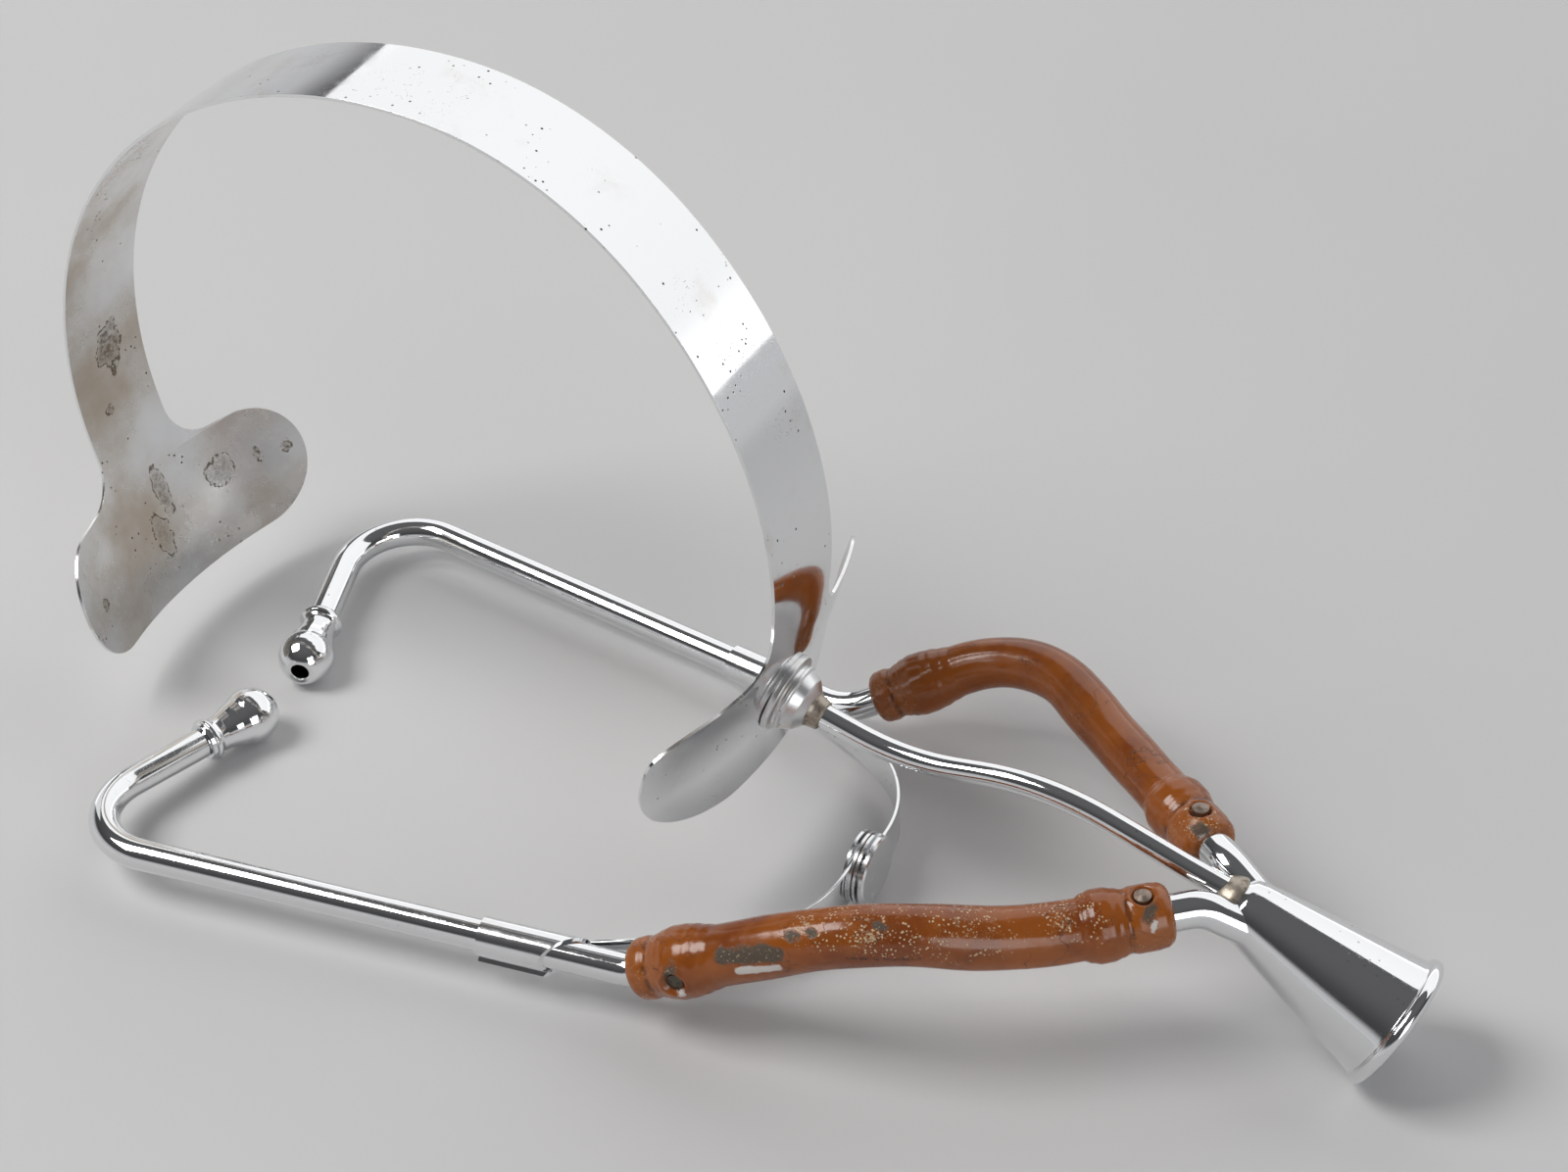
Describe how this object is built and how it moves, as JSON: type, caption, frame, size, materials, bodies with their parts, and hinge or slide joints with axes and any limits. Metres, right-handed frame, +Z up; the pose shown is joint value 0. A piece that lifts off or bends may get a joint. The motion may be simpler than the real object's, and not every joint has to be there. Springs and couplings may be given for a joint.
{
  "type": "obstetric stethoscope",
  "caption": "Head-worn obstetric stethoscope: a sprung head band holds a bell on a curved stem, and two hinged, sprung ear tubes join the bell through rubber hoses.",
  "frame": {"origin": "on the surface that the instrument lies on, with z = 0 under the bell's rim and the ear tips; x = 0 lies 9.5 mm behind the foot of the head band and y = 0 is the band's mid plane", "axes": "+X runs forwards to the bell, +Y to the wearer's far side in the picture, +Z up from the table"},
  "size_m": [0.3308, 0.144, 0.17],
  "materials": {
    "chromed_band": "polished chrome plate with pitting and brown tarnish",
    "chrome_plate": "polished chrome plate with light wear",
    "dull_metal": "dull, tarnished metal",
    "red_rubber": "glossy aged red-brown rubber with pale bloom and cracks"
  },
  "bodies": {
    "frame": {"head_band": "chromed_band", "boss_washer": "dull_metal", "boss_rivet_pin": "dull_metal", "forehead_boss": "chrome_plate", "stem": "chrome_plate", "bell": "chrome_plate", "branch_near": "chrome_plate", "branch_far": "chrome_plate", "stud_bell_near": "dull_metal", "stud_bell_far": "dull_metal", "hose_near": "red_rubber", "hose_far": "red_rubber", "leaf_near": "chrome_plate", "disc_near": "chrome_plate", "hinge_washer": "dull_metal", "hinge_cap": "chrome_plate", "hinge_rivet": "chrome_plate"},
    "ear_side_near": {"ear_tube_near": "chrome_plate", "stud_ear_near": "dull_metal"},
    "tip_near": {"ear_tip_near": "chrome_plate"},
    "far_leaf": {"disc_far": "chrome_plate", "leaf_far": "chrome_plate"},
    "ear_side_far": {"ear_tube_far": "chrome_plate", "stud_ear_far": "dull_metal"},
    "tip_far": {"ear_tip_far": "chrome_plate"}
  },
  "joints": [
    {"name": "near_spread", "type": "hinge", "parent": "frame", "child": "ear_side_near", "pos_m": [0.02292, -0.04421, 0.009], "axis": [0, 0, 1], "range_deg": [-1, 26], "stiffness_Nm_per_rad": 0.5, "deforming": ["leaf_near", "hose_near"]},
    {"name": "fold", "type": "hinge", "parent": "frame", "child": "far_leaf", "pos_m": [0.03287, -0.00818, 0.009], "axis": [0.9983, 0.0576, 0], "range_deg": [-60, 15], "deforming": ["hose_far"]},
    {"name": "far_spread", "type": "hinge", "parent": "far_leaf", "child": "ear_side_far", "pos_m": [0.01912, 0.02168, 0.009], "axis": [0, 0, 1], "range_deg": [-26, 1], "stiffness_Nm_per_rad": 0.5, "deforming": ["leaf_far", "hose_far"]},
    {"name": "tip_turn_near", "type": "hinge", "parent": "ear_side_near", "child": "tip_near", "pos_m": [-0.11658, -0.03082, 0.0066], "axis": [0.2298, 0.9703, -0.0756], "continuous": true},
    {"name": "tip_turn_far", "type": "hinge", "parent": "ear_side_far", "child": "tip_far", "pos_m": [-0.11791, -0.00766, 0.0066], "axis": [0.3406, -0.9398, -0.0276], "continuous": true}
  ],
  "couplings": [
    {"joint": "far_spread", "follows": "near_spread", "ratio": -1}
  ]
}
